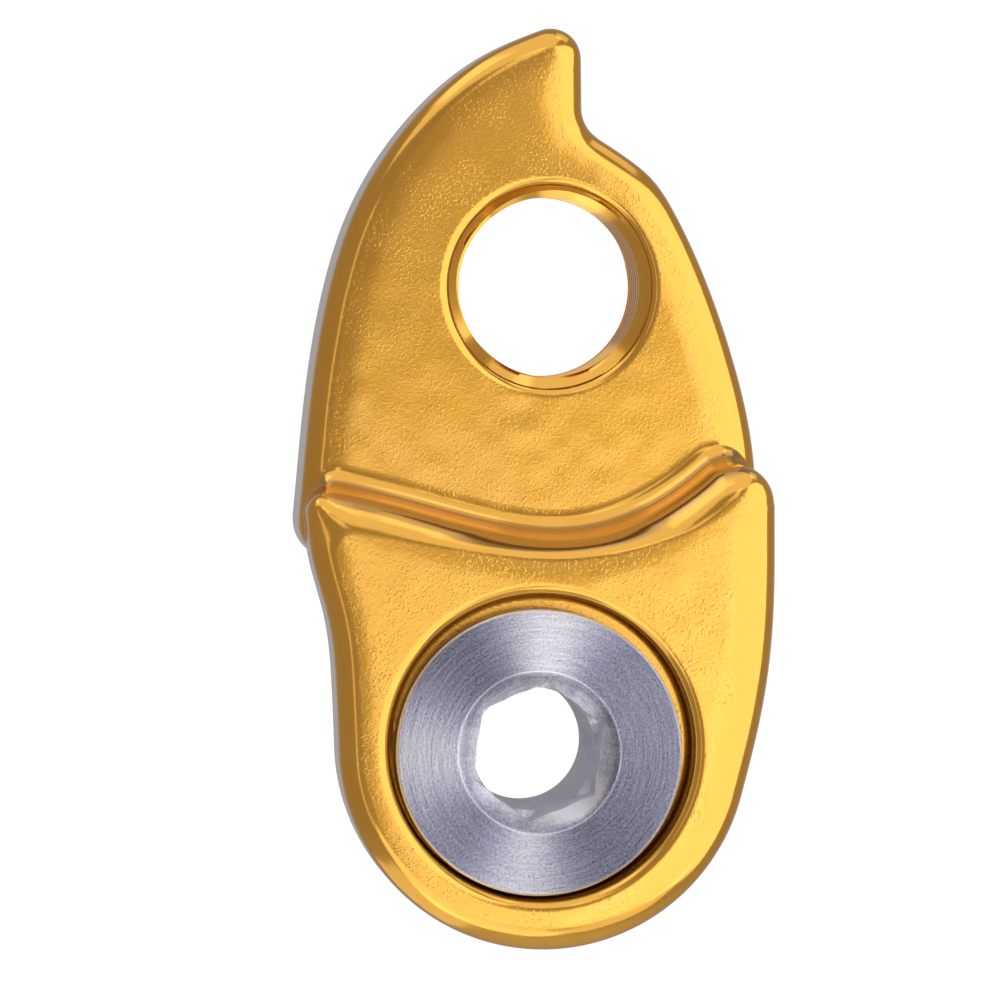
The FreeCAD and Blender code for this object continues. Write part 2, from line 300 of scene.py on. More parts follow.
# ---------------------------------------------------------------- the link as a field: negative inside

def rounded_meet(a, b, radius):
    """Where both fields are negative, with its outer edge rounded."""
    near = (a > -radius) & (b > -radius)
    edge = np.hypot(np.maximum(a + radius, 0), np.maximum(b + radius, 0)) - radius
    return np.where(near, edge, np.maximum(a, b))


def rounded_join(a, b, radius):
    """Where either field is negative, with its inner corner filled by an arc."""
    near = (a < radius) & (b < radius)
    corner = radius - np.hypot(np.maximum(radius - a, 0), np.maximum(radius - b, 0))
    return np.where(near, corner, np.minimum(a, b))


def droop(outline, depth, width):
    """How far a front face falls back towards its rim."""
    return depth * (1 - smooth_step(-outline, CHANGE_START, width)) ** 2


def plate(outline, y, dent, fall, front, back, front_edge, back_edge):
    """A plate between two planes. fall and dent move its faces inwards."""
    middle = (front + back) / 2
    return np.where(
        y < middle,
        rounded_meet(outline, front + dent - y + fall, front_edge),
        rounded_meet(outline, y + dent - back, back_edge),
    )


def lower_plate(lower, upper, y, dent):
    """The plate that the bolt goes through. Its upper edge is the ridge of the step."""
    on_ridge = smooth_step(-upper, CHANGE_START, RIDGE_FULL)
    rim = FRONT_RIM + (RIDGE_RIM - FRONT_RIM) * on_ridge
    at_side = droop(lower, LOWER_DROOP, LOWER_DROOP_WIDTH)
    fall = at_side + (droop(lower, RIDGE_DROOP, RIDGE_DROOP_WIDTH) - at_side) * on_ridge
    middle = (LOWER_FRONT + UPPER_FRONT) / 2
    lean = STEP_DRAFT * np.clip(y - middle, LOWER_FRONT - middle, UPPER_FRONT - middle)
    leaning = lower - lean * smooth_step(-upper, CHANGE_START, LEAN_FULL)
    return leaning, plate(leaning, y, dent, fall, LOWER_FRONT, LOWER_BACK, rim, LOWER_BACK_EDGE)


def upper_plate(upper, y, dent):
    """The plate with the derailleur thread and the hook."""
    fall = droop(upper, UPPER_DROOP, UPPER_DROOP_WIDTH)
    return plate(upper, y, dent, fall, UPPER_FRONT, UPPER_BACK, FRONT_RIM, UPPER_BACK_EDGE)


def link_field(lower, upper, from_bolt, from_pocket, from_thread, y, dent):
    """lower and upper are distances to the two outlines, and the next three to the holes' axes."""
    high = upper_plate(upper, y, dent)
    lower, low = lower_plate(lower, upper, y, dent)
    in_front = 1 - smooth_step(y, UPPER_FRONT, UPPER_FRONT + FRONT_RIM)
    behind = smooth_step(y, LOWER_BACK - BACK_FOOT, LOWER_BACK)
    foot = STEP_FOOT * in_front * smooth_step(-upper, 0.0, FOOT_FULL)
    foot = foot + BACK_FOOT * behind * smooth_step(-lower, 0.0, FOOT_FULL)
    body = rounded_join(low, high, np.maximum(foot, SMALLEST_FOOT))
    pocket = rounded_meet(from_pocket - POCKET_RADIUS, y - POCKET_FLOOR, POCKET_CORNER)
    recess = rounded_meet(from_bolt - RECESS_RADIUS, RECESS_FLOOR - y, POCKET_CORNER)
    slope = (LEAD_IN_RADIUS - THREAD_WALL) / LEAD_IN_STEP_DEPTH
    cone = (from_thread - LEAD_IN_RADIUS + (y - UPPER_FRONT) * slope) / math.hypot(1, slope)
    thread_hole = np.minimum(from_thread - THREAD_WALL, cone)
    body = rounded_meet(body, -pocket, POCKET_RIM)
    body = rounded_meet(body, SHANK_HOLE - from_bolt, SHANK_HOLE_EDGE)
    body = rounded_meet(body, -recess, RECESS_EDGE)
    return rounded_meet(body, -thread_hole, THREAD_RIM)


class Link:
    """The link's field, on a grid and at loose points."""

    def __init__(self, step):
        outlines = lower_outline(), upper_outline()
        both = np.concatenate(outlines)
        low = both.min(0) - 3 * step
        high = both.max(0) + 3 * step
        self.xs = np.arange(low[0], high[0] + step, step)
        self.zs = np.arange(low[1], high[1] + step, step)
        self.ys = np.arange(LOWER_FRONT - 3 * step, UPPER_BACK + 4 * step, step)
        self.lower, self.upper = (
            Map(softened(distance_map(outline, self.xs, self.zs), step) + INSET, low, step)
            for outline in outlines
        )
        wave = np.random.default_rng(DENT_SEED).normal(size=DENT_COUNT)
        self.dents = Map(wave, low - DENT_MARGIN, DENT_SPACING)

    def flat_fields(self, x, z):
        """What link_field needs that doesn't change with Y, apart from the outlines."""
        axes = (0, 0), (POCKET_X, POCKET_Z), (THREAD_X, THREAD_Z)
        reaches = [np.hypot(x - axis_x, z - axis_z) for axis_x, axis_z in axes]
        return reaches, DENT * (DENT_OFFSET + self.dents.read(x, z))

    def grid(self):
        x, z = np.meshgrid(self.xs, self.zs, indexing="ij")
        reaches, dent = self.flat_fields(x, z)
        layers = [link_field(self.lower.values, self.upper.values, *reaches, y, dent) for y in self.ys]
        return np.stack(layers, axis=1).astype(np.float32)

    def at(self, points):
        x, y, z = points.T
        reaches, dent = self.flat_fields(x, z)
        return link_field(self.lower.read(x, z), self.upper.read(x, z), *reaches, y, dent)

    def slope(self, points, reach=0.01):
        """How the field changes with X, Y and Z at each point."""
        slope = np.empty_like(points)
        for axis in range(3):
            shift = np.zeros(3)
            shift[axis] = reach
            slope[:, axis] = self.at(points + shift) - self.at(points - shift)
        return slope / (2 * reach)


def crossings(field, active):
    """For each active cell, the mean place where its edges cross the surface, in cells."""
    corners = [(i, j, k) for i in (0, 1) for j in (0, 1) for k in (0, 1)]
    values = {corner: field[tuple((active + corner).T)] for corner in corners}
    total, hits = np.zeros((len(active), 3)), np.zeros(len(active))
    for first in corners:
        for axis in range(3):
            if first[axis]:
                continue
            second = tuple(first[n] + (n == axis) for n in range(3))
            a, b = values[first], values[second]
            crosses = (a < 0) != (b < 0)
            place = np.array(first, float)[None].repeat(len(active), 0)
            place[:, axis] += a / np.where(crosses, a - b, 1)
            total += place * crosses[:, None]
            hits += crosses
    return active + total / hits[:, None]


def surface(field, corner, step):
    """Points and quads of the surface where the field is zero, one point for each cell that it crosses."""
    inside = field < 0
    nx, ny, nz = (n - 1 for n in field.shape)
    cells = np.zeros((nx, ny, nz), np.int8)
    for i, j, k in np.ndindex(2, 2, 2):
        cells += inside[i:i + nx, j:j + ny, k:k + nz]
    active = np.argwhere((cells > 0) & (cells < 8))
    number = np.full(cells.shape, -1, np.int32)
    number[tuple(active.T)] = np.arange(len(active))
    quads = []
    for axis in range(3):
        u, v = (axis + 1) % 3, (axis + 2) % 3
        ahead = np.moveaxis(inside, axis, 0)
        places = np.argwhere(np.moveaxis(ahead[1:] != ahead[:-1], 0, axis))
        places = places[(places[:, u] > 0) & (places[:, v] > 0)]
        places = places[(places[:, u] < cells.shape[u]) & (places[:, v] < cells.shape[v])]
        ring = []
        for du, dv in ((1, 1), (0, 1), (0, 0), (1, 0)):
            back = places.copy()
            back[:, u] -= du
            back[:, v] -= dv
            ring.append(number[tuple(back.T)])
        ring = np.stack(ring, 1)
        leaves = inside[tuple(places.T)]
        ring[~leaves] = ring[~leaves][:, ::-1]
        quads.append(ring)
    return corner + crossings(field, active) * step, np.concatenate(quads)


def link_surface(step, pulls=4, least_steepness=0.05):
    """Points, quads and normals of the link, with each point pulled onto the field's surface."""
    link = Link(step)
    corner = np.array([link.xs[0], link.ys[0], link.zs[0]])
    points, quads = surface(link.grid(), corner, step)
    for _ in range(pulls):
        slope = link.slope(points)
        steepness = np.maximum((slope ** 2).sum(1), least_steepness)
        points -= np.clip((link.at(points) / steepness)[:, None] * slope, -step, step)
    slope = link.slope(points)
    return points, quads, slope / np.linalg.norm(slope, axis=1)[:, None]


# ---------------------------------------------------------------- meshes

def grid_faces(rows, columns):
    """Quads of a grid of points whose last row joins the first one."""
    i, j = np.meshgrid(np.arange(rows), np.arange(columns - 1), indexing="ij")
    down, on = (i + 1) % rows, j + 1
    quads = [i * columns + j, i * columns + on, down * columns + on, down * columns + j]
    return np.stack(quads, -1).reshape(-1, 4)


def crease_normals(rows, crease):
    """A normal for each corner of grid_faces. It stays smooth around the axis and, across the rows,
    breaks where two strips meet at more than the crease angle."""
    across = np.roll(rows, -1, axis=0) - rows
    around = np.gradient(rows, axis=1)
    around[:, 0] = around[:, -1] = around[:, 0] + around[:, -1]
    strip = np.cross(around + np.roll(around, -1, axis=0), across)
    size = np.linalg.norm(strip, axis=2, keepdims=True)
    strip = strip / np.maximum(size, 1e-12)
    empty = size[..., 0] < 1e-7
    before = strip.copy()
    for i in range(1, len(rows)):
        before[i] = np.where(empty[i][:, None], before[i - 1], strip[i])
    previous = np.roll(before, 1, axis=0)
    smooth = (previous * strip).sum(2) > math.cos(math.radians(crease))
    start = np.where(smooth[..., None], previous + strip, strip)
    end = np.where(np.roll(smooth, -1, axis=0)[..., None], strip + np.roll(strip, -1, axis=0), strip)
    corners = np.stack([start[:, :-1], start[:, 1:], end[:, 1:], end[:, :-1]], 2).reshape(-1, 4, 3)
    return corners / np.maximum(np.linalg.norm(corners, axis=2, keepdims=True), 1e-12)


def turned_shell(profile, crease, columns, centre=(0, 0), first_angle=0.0, outside_first=False):
    """A closed shell around the Y direction. profile(theta) gives a list of (radius, y) for the rows,
    each a number or an array over theta. They run towards +Y on the inside and back on the outside,
    or the other way round with outside_first."""
    theta = math.radians(first_angle) + np.linspace(0, 2 * math.pi, columns + 1)
    rows = []
    for radius, y in profile(theta):
        x, z = centre[0] + radius * np.cos(theta), centre[1] + radius * np.sin(theta)
        rows.append(np.stack([x, y + 0 * theta, z], 1))
    rows = np.array(rows)
    quads, normals = grid_faces(*rows.shape[:2]), crease_normals(rows, crease)
    if outside_first:
        quads, normals = quads[:, ::-1], -normals[:, ::-1]
    return rows.reshape(-1, 3), quads, normals


def rounded_profile(corners, steps=4):
    """(radius, y) places along corners of (radius, y, rounding), with an arc where rounding isn't 0."""
    places = [np.array(corner[:2], float) for corner in corners]
    result = []
    for i, (corner, rounding) in enumerate(zip(places, (c[2] for c in corners))):
        if not rounding:
            result.append(tuple(corner))
            continue
        before, after = places[i - 1] - corner, places[i + 1] - corner
        before, after = before / np.linalg.norm(before), after / np.linalg.norm(after)
        half = math.acos(np.clip(before @ after, -1, 1)) / 2
        reach = rounding / math.tan(half)
        middle = corner + (before + after) / np.linalg.norm(before + after) * rounding / math.sin(half)
        start, end = corner + before * reach - middle, corner + after * reach - middle
        sweep = math.pi - 2 * half
        for t in np.linspace(0, 1, steps + 1):
            turned = (math.sin((1 - t) * sweep) * start + math.sin(t * sweep) * end) / math.sin(sweep)
            result.append(tuple(middle + turned))
    return result


def helix_rows(theta, first_y, last_y, phases):
    """Y of each row of a thread between two planes. Each row keeps its place on the thread's profile."""
    turn = (theta - theta[0]) / (2 * math.pi)
    start, end = math.floor(first_y / THREAD_PITCH) - 1, math.ceil(last_y / THREAD_PITCH) + 1
    rows = [first_y + 0 * theta]
    for number in range(start, end + 1):
        for phase in phases:
            rows.append(np.clip((number + phase + turn) * THREAD_PITCH, first_y, last_y))
    rows.append(last_y + 0 * theta)
    return rows


def thread_depth(theta, y, crest, root):
    """How far along the flank the thread is, from 0 on the crest to 1 in the root."""
    turn = (theta - theta[0]) / (2 * math.pi)
    phase = (y / THREAD_PITCH - turn) % 1.0
    off = np.minimum(phase, 1 - phase)
    return np.clip((off - crest / 2) / (0.5 - root / 2 - crest / 2), 0, 1)


def welded(points, quads, normals):
    """The same shell with points that coincide made one, as points, face corners, their normals and
    the corners of each face. A quad that loses a side becomes a triangle or goes."""
    if normals.ndim == 2:
        normals = normals[quads]
    _, number, same = np.unique(np.round(points, 4), axis=0, return_index=True, return_inverse=True)
    quads = same.reshape(-1)[quads]
    keep = quads != np.roll(quads, -1, axis=1)
    keep &= (keep.sum(1) >= 3)[:, None]
    counts = keep.sum(1)
    return points[number], quads[keep], normals[keep], counts[counts > 0]


def new_object(name, *shells):
    """A mesh object from shells of (points, quads, normals), in millimetres.
    normals has one row for each point, or one for each corner of each quad."""
    points, corners, normals, counts = zip(*(welded(*shell) for shell in shells))
    first = np.r_[0, np.cumsum([len(part) for part in points])]
    corners = np.concatenate([part + start for part, start in zip(corners, first)])
    points, normals, counts = (np.concatenate(parts) for parts in (points, normals, counts))
    mesh = bpy.data.meshes.new(name)
    mesh.vertices.add(len(points))
    mesh.vertices.foreach_set("co", (points * MM).astype(np.float32).ravel())
    mesh.loops.add(len(corners))
    mesh.loops.foreach_set("vertex_index", corners.astype(np.int32))
    mesh.polygons.add(len(counts))
    mesh.polygons.foreach_set("loop_start", np.r_[0, np.cumsum(counts)[:-1]].astype(np.int32))
    mesh.update(calc_edges=True)
    mesh.validate()
    mesh.polygons.foreach_set("use_smooth", np.ones(len(mesh.polygons), bool))
    mesh.normals_split_custom_set(normals.tolist())
    made = bpy.data.objects.new(name, mesh)
    bpy.context.scene.collection.objects.link(made)
    return made


# ---------------------------------------------------------------- thread and bolt

def thread_sleeve():
    """The inner wall of the derailleur hole, with its helical ridges and both lead-ins."""
    def profile(theta):
        lead_in = (THREAD_WALL - THREAD_MINOR) / (LEAD_IN_DEPTH - LEAD_IN_STEP_DEPTH)
        rows = []
        for y in helix_rows(theta, SLEEVE_FRONT, SLEEVE_BACK, INNER_THREAD_ROWS):
            depth = thread_depth(theta, y, CREST, ROOT)
            radius = THREAD_MINOR + depth * (THREAD_WALL - SLEEVE_PLAY - THREAD_MINOR)
            front = THREAD_WALL - (y - UPPER_FRONT - LEAD_IN_STEP_DEPTH) * lead_in
            back = BACK_CHAMFER_RADIUS - (UPPER_BACK - y)
            rows.append((np.maximum(radius, np.maximum(front, back)), y))
        rows.append((SLEEVE_HIDDEN_RADIUS, SLEEVE_BACK))
        rows.append((SLEEVE_HIDDEN_RADIUS, SLEEVE_FRONT))
        return rows
    return turned_shell(profile, crease=20, columns=200, centre=(THREAD_X, THREAD_Z))


def head_and_groove():
    """The bolt's outside, from the rim of the socket's mouth to the start of the thread, as
    (radius, y, rounding). The rows on the face only make its mesh finer."""
    return rounded_profile([
        (MOUTH_RADIUS - 0.02, HEAD_FACE + 0.02, 0),
        (MOUTH_RADIUS + 0.05, HEAD_FACE, 0.02),
        *((radius, HEAD_FACE, 0) for radius in FACE_ROWS),
        (HEAD_RADIUS - FACE_CHAMFER, HEAD_FACE, 0.06),
        (HEAD_RADIUS, HEAD_FACE + FACE_CHAMFER, 0.05),
        (HEAD_RADIUS, HEAD_SEAT - SEAT_CHAMFER, 0.08),
        (HEAD_RADIUS - SEAT_CHAMFER, HEAD_SEAT, 0.08),
        (SHANK_RADIUS + NECK_CHAMFER, HEAD_SEAT, 0),
        (SHANK_RADIUS, HEAD_SEAT + NECK_CHAMFER, 0),
        (SHANK_RADIUS, GROOVE_FRONT, 0.06),
        (GROOVE_RADIUS, GROOVE_FRONT, 0.1),
        (GROOVE_RADIUS, GROOVE_BACK, 0.1),
        (SHANK_RADIUS, GROOVE_BACK, 0.06),
        (SHANK_RADIUS, BOLT_THREAD_START, 0),
    ])


def bolt_thread(theta):
    """The threaded end of the bolt, with its chamfer."""
    rows = []
    for y in helix_rows(theta, BOLT_THREAD_START, TIP_Y, OUTER_THREAD_ROWS):
        depth = thread_depth(theta, y, ROOT, CREST)
        depth = depth * np.clip((y - BOLT_THREAD_START) / BOLT_THREAD_RUN_OUT, 0, 1)
        radius = SHANK_RADIUS - depth * (SHANK_RADIUS - BOLT_ROOT_RADIUS)
        chamfer = SHANK_RADIUS - TIP_CHAMFER + (TIP_Y - y)
        rows.append((np.minimum(radius, chamfer), y))
    return rows


def bore_and_socket(theta):
    """The bolt's inside, from its tip to the socket's conical mouth."""
    from_flat = (theta - theta[0]) % (math.pi / 3) - math.pi / 6
    hexagon = np.maximum(ACROSS_FLATS / 2 / np.cos(from_flat), BORE_RADIUS)
    cone = (MOUTH_RADIUS - hexagon) * MOUTH_DEPTH / (MOUTH_RADIUS - ACROSS_FLATS / 2)
    floor_y, bore_end = HEAD_FACE + SOCKET_DEPTH, TIP_Y - BORE_END_CHAMFER
    rows = [(BORE_RADIUS + BORE_END_CHAMFER, TIP_Y), (BORE_RADIUS, bore_end)]
    for t in (0.2, 0.4, 0.6, 0.8, 1.0):
        rows.append((BORE_RADIUS, bore_end - t * (bore_end - floor_y - 2 * BORE_START)))
    rows.append((BORE_RADIUS, floor_y + BORE_START))
    rows.append((hexagon, floor_y))
    for t in (0.66, 0.33, 0.0):
        rows.append((hexagon, HEAD_FACE + cone + t * (SOCKET_DEPTH - cone)))
    for t in (0.75, 0.5, 0.25):
        rows.append((MOUTH_RADIUS - t * (MOUTH_RADIUS - hexagon), HEAD_FACE + t * cone))
    return rows


def fixing_bolt():
    def profile(theta):
        return head_and_groove() + bolt_thread(theta) + bore_and_socket(theta)
    return turned_shell(profile, crease=22, columns=240, first_angle=90 - SOCKET_TURN, outside_first=True)


# ---------------------------------------------------------------- grain and painted valley shade of the link

# how squarely a face looks along Y, from 0 to 1: where the cast texture starts and is full,
# where the painted shade in the valley starts and is full, and where it goes on the wall itself
TEXTURE_START, TEXTURE_FULL = 0.955, 0.992
VALLEY_SHADE_START, VALLEY_SHADE_FULL = 0.74, 0.62
WALL_START, WALL_FULL, WALL_SHARE = 0.27, 0.4, 0.55

# the valley's place, in millimetres: how far out in X its painted shade ends and is full, and its range in
# Z
VALLEY_END, VALLEY_FADE, VALLEY_LOW, VALLEY_HIGH = 11.2, 9.8, 9.0, 18.5


def store(mesh, name, values):
    mesh.attributes.new(name, "FLOAT", "POINT").data.foreach_set("value", values.astype(np.float32))


def store_grain_and_valley_shade(mesh):
    """grain is 1 on the flat faces, where the cast texture shows, down to 0 on the polished rims.
    The stored valley shade is 1 in the corner of the step between the plates: painted shade, darker and
    browner there."""
    places = np.empty(len(mesh.vertices) * 3)
    mesh.vertices.foreach_get("co", places)
    x, y, z = places.reshape(-1, 3).T / MM
    index = np.array([loop.vertex_index for loop in mesh.loops])
    normals = np.zeros((len(mesh.vertices), 3))
    normals[index] = [corner.vector for corner in mesh.corner_normals]
    facing = np.abs(normals[:, 1])
    wall = WALL_SHARE + (1 - WALL_SHARE) * smooth_step(facing, WALL_START, WALL_FULL)
    # painted shade: dark in the step's corner, where the faces turn away from Y and upwards, and on part
    # of the wall
    valley_shade = smooth_step(facing, VALLEY_SHADE_START, VALLEY_SHADE_FULL) * wall
    valley_shade *= smooth_step(np.abs(x), VALLEY_END, VALLEY_FADE)
    valley_shade *= smooth_step(y, LOWER_FRONT, LOWER_FRONT + 0.3)
    valley_shade *= (normals[:, 2] > 0.3) & (y < UPPER_FRONT + 0.5) & (z > VALLEY_LOW) & (z < VALLEY_HIGH)
    store(mesh, "grain", smooth_step(facing, TEXTURE_START, TEXTURE_FULL))
    store(mesh, "valley_shade", valley_shade)


# ---------------------------------------------------------------- materials

class Nodes:
    """Short calls for the nodes of one material."""

    def __init__(self, name):
        self.material = bpy.data.materials.new(name)
        self.material.use_nodes = True
        self.tree = self.material.node_tree
        self.shader = self.tree.nodes["Principled BSDF"]

    def node(self, kind, inputs=None, **settings):
        made = self.tree.nodes.new("ShaderNode" + kind)
        for key, value in settings.items():
            setattr(made, key, value)
        for key, value in (inputs or {}).items():
            self.feed(made.inputs[key], value)
        return made

    def feed(self, socket, value):
        if isinstance(value, bpy.types.NodeSocket):
            self.tree.links.new(value, socket)
        else:
            socket.default_value = value

    def finish(self, **inputs):
        """Feeds the shader. Metallic=1.0 sets its Metallic, and Base_Color=tint its Base Color."""
        for key, value in inputs.items():
            self.feed(self.shader.inputs[key.replace("_", " ")], value)
        return self.material

    def math(self, operation, *values):
        made = self.node("Math", operation=operation)
        for socket, value in zip(made.inputs, values):
            self.feed(socket, value)
        return made.outputs[0]

    def plus(self, first, *others):
        for other in others:
            first = self.math("ADD", first, other)
        return first

    def times(self, first, second):
        return self.math("MULTIPLY", first, second)

    def vector(self, x, y, z=0.0):
        return self.node("CombineXYZ", {"X": x, "Y": y, "Z": z}).outputs["Vector"]

    def noise(self, where, scale, detail=2.0, roughness=0.5):
        inputs = {"Vector": where, "Scale": scale, "Detail": detail, "Roughness": roughness}
        return self.node("TexNoise", inputs).outputs["Fac"]

    def attribute(self, name):
        return self.node("Attribute", attribute_name=name).outputs["Fac"]

    def ramp(self, value, *stops):
        """Value to number or colour, by straight lines through (value, result) stops."""
        made = self.node("ValToRGB", {"Fac": value})
        elements = made.color_ramp.elements
        while len(elements) < len(stops):
            elements.new(0.5)
        for element, (place, result) in zip(elements, stops):
            element.position = place
            element.color = (*result, 1) if isinstance(result, tuple) else (result, result, result, 1)
        return made.outputs["Color"]

    def mix(self, share, first, second):
        made = self.node("Mix", data_type="RGBA")
        for socket, value in zip((made.inputs[0], made.inputs[6], made.inputs[7]), (share, first, second)):
            self.feed(socket, value)
        return made.outputs[2]

    def fan(self, angle, centre, power, weight):
        """A fan of that weight around one angle, in degrees. A higher power makes it narrower."""
        facing = self.math("COSINE", self.math("SUBTRACT", angle, math.radians(centre)))
        return self.times(self.math("POWER", self.math("MAXIMUM", facing, 0.0), power), weight)

    def bump(self, height, distance, strength):
        inputs = {"Height": height, "Distance": distance, "Strength": strength}
        return self.node("Bump", inputs).outputs["Normal"]


# the last colour is painted shade, darker and browner, for the corner of the step
GOLD_DARK, GOLD_LIGHT, GOLD_VALLEY_SHADE = (0.84, 0.45, 0.060), (0.87, 0.475, 0.068), (0.46, 0.32, 0.12)
STEEL_DARK, STEEL_MIDDLE, STEEL_LIGHT = (0.055, 0.057, 0.088), (0.28, 0.29, 0.385), (0.80, 0.83, 0.90)


def gold_material():
    """Glossy gold coat over a fine blasted forging. Its specks crowd together in places. Shade is painted
    darker and browner into the corner of the step.
    """
    n = Nodes("gold_lacquered_aluminium")
    place = n.node("TexCoord").outputs["Object"]
    grain, valley_shade = n.attribute("grain"), n.attribute("valley_shade")
    peel, broad = n.noise(place, 5200), n.noise(place, 420)
    specks = n.ramp(n.noise(place, 7600, detail=1.0), (0.55, 0.0), (0.74, 1.0))
    crowd = n.ramp(broad, (0.42, 0.25), (0.62, 1.0))
    texture = n.plus(n.times(peel, 0.4), n.times(specks, n.times(crowd, 0.75)))
    height = n.times(texture, n.plus(n.times(grain, 0.9), 0.1))
    tint = n.ramp(broad, (0.3, GOLD_DARK), (0.7, GOLD_LIGHT))
    return n.finish(
        # painted shade: the step's corner takes the darker, browner colour
        Base_Color=n.mix(valley_shade, tint, (*GOLD_VALLEY_SHADE, 1)),
        Metallic=0.92,
        Roughness=n.plus(n.times(grain, 0.06), n.times(peel, 0.05), 0.11),
        Coat_Weight=0.5,
        Coat_Roughness=0.06,
        Normal=n.bump(height, 0.000016, 0.68),
    )


def steel_material(name, turned_marks):
    """Zinc-plated steel, turned about Y, with highlights painted into its colour. turned_marks is how deep
    the face's circular tool marks are.
    Radius and depth are in centimetres, which keeps them between 0 and 1 for the ramps."""
    n = Nodes(name)
    place = n.node("TexCoord").outputs["Object"]
    x, y, z = n.node("SeparateXYZ", {"Vector": place}).outputs
    from_axis = n.math("SQRT", n.plus(n.times(x, x), n.times(z, z)))
    angle = n.math("ARCTAN2", z, x)
    radius, depth = n.times(from_axis, 100), n.plus(n.times(y, 100), -0.1 * HEAD_FACE)

    grooves = n.noise(n.vector(from_axis, n.times(angle, 0.0004), y), 8000, 3.0, 0.65)
    specks = n.noise(place, 8500, 2.0, 0.6)

    # painted highlights: the face is lighter in four fans of painted highlight, and the socket's wall in
    # random streaks, in a painted highlight fan and where it is deep
    inside = n.ramp(radius, (0.36, 1.0), (0.41, 0.0))
    face_highlight_fans = n.plus(
        n.fan(angle, 86, 12, 0.85),
        n.fan(angle, -97, 12, 0.62),
        n.fan(angle, 181, 6, 0.6),
        n.fan(angle, 8, 3, 0.2),
    )
    streaks = n.noise(n.vector(n.times(angle, 0.003), n.times(y, 0.06)), 1500, 3.0, 0.6)
    deep = n.ramp(depth, (0.0, 0.0), (0.09, 0.7))
    wall = n.plus(n.times(streaks, 0.9), deep, n.fan(angle, -50, 10, 1.1))
    # painted sheen: the face's highlight fans outside the socket, and the wall's streaks and highlight
    # inside it
    painted_sheen = n.plus(n.times(face_highlight_fans, n.math("SUBTRACT", 1.0, inside)), n.times(wall, n.times(inside, 0.8)))

    # thin painted highlights round the socket's mouth and round the head, where their small chamfers catch
    # the light
    mouth_edge_highlight = n.ramp(radius, (0.394, 0.0), (0.399, 0.45), (0.402, 0.45), (0.407, 0.0))
    head_edge_highlight = n.ramp(radius, (0.691, 0.0), (0.697, 1.0), (0.705, 1.0), (0.71, 0.0))
    edge_highlights = n.times(n.plus(mouth_edge_highlight, head_edge_highlight), 0.8)

    # tone: the real specks and tool marks, plus the painted sheen and the painted edge highlights
    tone = n.plus(n.times(specks, 0.8), n.times(grooves, 0.35), painted_sheen, edge_highlights)
    return n.finish(
        Base_Color=n.ramp(n.times(tone, 0.5), (0.2, STEEL_DARK), (0.45, STEEL_MIDDLE), (0.8, STEEL_LIGHT)),
        Metallic=1.0,
        Roughness=n.plus(n.times(specks, 0.15), n.times(inside, 0.12), 0.22),
        Anisotropic=0.85,
        Anisotropic_Rotation=0.25,
        Tangent=n.node("Tangent", direction_type="RADIAL", axis="Y").outputs[0],
        Normal=n.bump(n.plus(n.times(grooves, turned_marks), n.times(specks, 0.3)), 0.00004, 0.9),
    )


# ---------------------------------------------------------------- pieces

link = new_object("link_shell", link_surface(MESH_STEP), thread_sleeve())
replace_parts(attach(link, "link"), "link_body")
store_grain_and_valley_shade(link.data)
link.data.materials.append(gold_material())

bolt = new_object("hollow_bolt", fixing_bolt())
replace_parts(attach(bolt, "bolt"), "fixing_bolt")
bolt.data.materials.append(steel_material("turned_steel", 1.0))

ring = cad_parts["retaining_ring"]
ring.data.materials.clear()
ring.data.materials.append(steel_material("spring_steel", 0.2))


# ---------------------------------------------------------------- stage, lights and camera

CENTRE = Vector((0.0, 0.0, 12.8)) * MM
FLOOR_RADIUS, FLOOR_Z = 500, -200
SURROUND_RADIUS = 4000.0
CAMERA_DISTANCE, CAMERA_AZIMUTH, CAMERA_ELEVATION = 400.0, -4.3, 1.5
LOOKS_AT = Vector((-1.957, -5.5, 12.42)) * MM
VIEW_WIDTH, SENSOR_WIDTH = 49.0, 36


def direction(azimuth, elevation):
    """Unit vector seen from the object: azimuth 0 is -Y, 90 is +X."""
    a, e = math.radians(azimuth), math.radians(elevation)
    return Vector((math.sin(a) * math.cos(e), -math.cos(a) * math.cos(e), math.sin(e)))


def softbox(name, azimuth, elevation, distance, width, height, radiance, roll=0.0):
    """A soft light of that size, in millimetres, that faces the object."""
    data = bpy.data.lights.new(name, "AREA")
    data.shape = "RECTANGLE"
    data.size, data.size_y = width * MM, height * MM
    data.energy = radiance * math.pi * width * height * MM * MM
    made = bpy.data.objects.new(name, data)
    bpy.context.scene.collection.objects.link(made)
    facing = direction(azimuth, elevation)
    made.location = CENTRE + facing * distance * MM
    turn = Matrix.Rotation(math.radians(roll), 3, facing)
    made.rotation_euler = (turn @ facing.to_track_quat("Z", "Y").to_matrix()).to_euler()


def pale_floor(rings=8, count=96):
    """A wide flat disc of rings, well below the object."""
    points, faces = [(0, 0, FLOOR_Z * MM)], [(0, 1 + k, 1 + (k + 1) % count) for k in range(count)]
    for number in range(1, rings + 1):
        reach = FLOOR_RADIUS * MM * number / rings
        for k in range(count):
            a = 2 * math.pi * k / count
            points.append((reach * math.cos(a), reach * math.sin(a), FLOOR_Z * MM))
    for number in range(rings - 1):
        base = 1 + number * count
        for k in range(count):
            on = (k + 1) % count
            faces.append((base + k, base + k + count, base + on + count, base + on))
    mesh = bpy.data.meshes.new("floor")
    mesh.from_pydata(points, [], faces)
    floor = bpy.data.objects.new("floor", mesh)
    bpy.context.scene.collection.objects.link(floor)
    n = Nodes("pale_floor")
    mesh.materials.append(n.finish(Base_Color=(0.85, 0.85, 0.85, 1), Roughness=0.7))


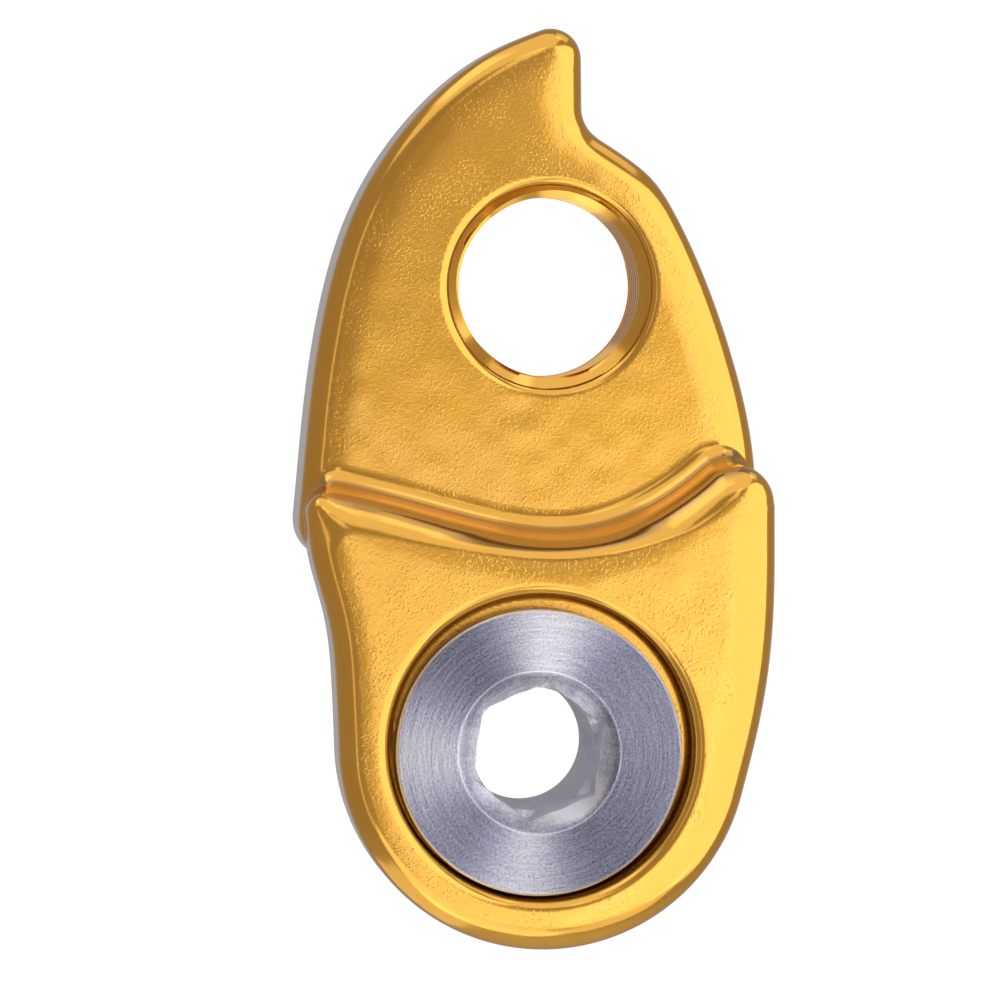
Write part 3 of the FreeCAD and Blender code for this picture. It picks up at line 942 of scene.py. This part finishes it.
def white_surround():
    """A white dome that only the camera sees, so that the background is as white as the photograph's."""
    bpy.ops.mesh.primitive_ico_sphere_add(subdivisions=4, radius=SURROUND_RADIUS * MM)
    dome = bpy.context.object
    dome.name = "white_surround"
    dome.visible_glossy = dome.visible_diffuse = dome.visible_shadow = False
    n = Nodes("white_surround")
    white = n.finish(Base_Color=(0, 0, 0, 1), Emission_Color=(1, 1, 1, 1), Emission_Strength=1.02)
    dome.data.materials.append(white)


def studio_world():
    """A dim surround, warmer in front of the object and cooler behind it."""
    world = bpy.data.worlds.new("studio")
    bpy.context.scene.world = world
    world.use_nodes = True
    nodes, links = world.node_tree.nodes, world.node_tree.links
    split = nodes.new("ShaderNodeSeparateXYZ")
    links.new(nodes.new("ShaderNodeTexCoord").outputs["Generated"], split.inputs[0])
    glow = nodes.new("ShaderNodeValToRGB")
    glow.color_ramp.interpolation = "EASE"
    warm, cool = glow.color_ramp.elements
    warm.position, cool.position = 0.6, 0.9
    warm.color, cool.color = (0.35, 0.295, 0.27, 1), (0.38, 0.39, 0.42, 1)
    links.new(split.outputs["Y"], glow.inputs["Fac"])
    links.new(glow.outputs["Color"], nodes["Background"].inputs["Color"])
    nodes["Background"].inputs["Strength"].default_value = 1.0


def add_camera():
    data = bpy.data.cameras.new("camera")
    camera = bpy.data.objects.new("camera", data)
    bpy.context.scene.collection.objects.link(camera)
    towards = direction(CAMERA_AZIMUTH, CAMERA_ELEVATION)
    camera.location = LOOKS_AT + towards * CAMERA_DISTANCE * MM
    camera.rotation_euler = towards.to_track_quat("Z", "Y").to_euler()
    data.sensor_width = SENSOR_WIDTH
    data.lens = SENSOR_WIDTH * CAMERA_DISTANCE / VIEW_WIDTH
    data.clip_start, data.clip_end = 0.01, 20
    bpy.context.scene.camera = camera


# azimuth, elevation, distance, width, height, radiance
softbox("right_box", 45, 2, 150, 205, 255, 1.27, roll=-12)
softbox("front_low_box", 1.5, -10.5, 300, 84, 108, 1.05, roll=-8)
softbox("hook_box", 3, 9.5, 300, 64, 56, 0.24)
softbox("low_box", -16, -41, 150, 92, 100, 1.05)
softbox("low_right_box", 28, -43, 180, 96, 60, 0.65)
softbox("top_box", -30, 68, 220, 290, 225, 0.65)
softbox("top_left_box", -80, 59, 240, 150, 70, 0.55)
softbox("top_right_box", 92, 62, 240, 150, 110, 0.6)
softbox("ridge_strip", -8, 32, 260, 46, 90, 0.75)
softbox("left_strip", -38, -1, 300, 30, 235, 0.6)
softbox("low_left_box", -85, -62, 220, 300, 150, 0.5)
softbox("floor_box", 60, -80, 260, 280, 200, 0.3)
pale_floor()
white_surround()
studio_world()
add_camera()
bpy.context.scene.view_settings.view_transform = "Standard"
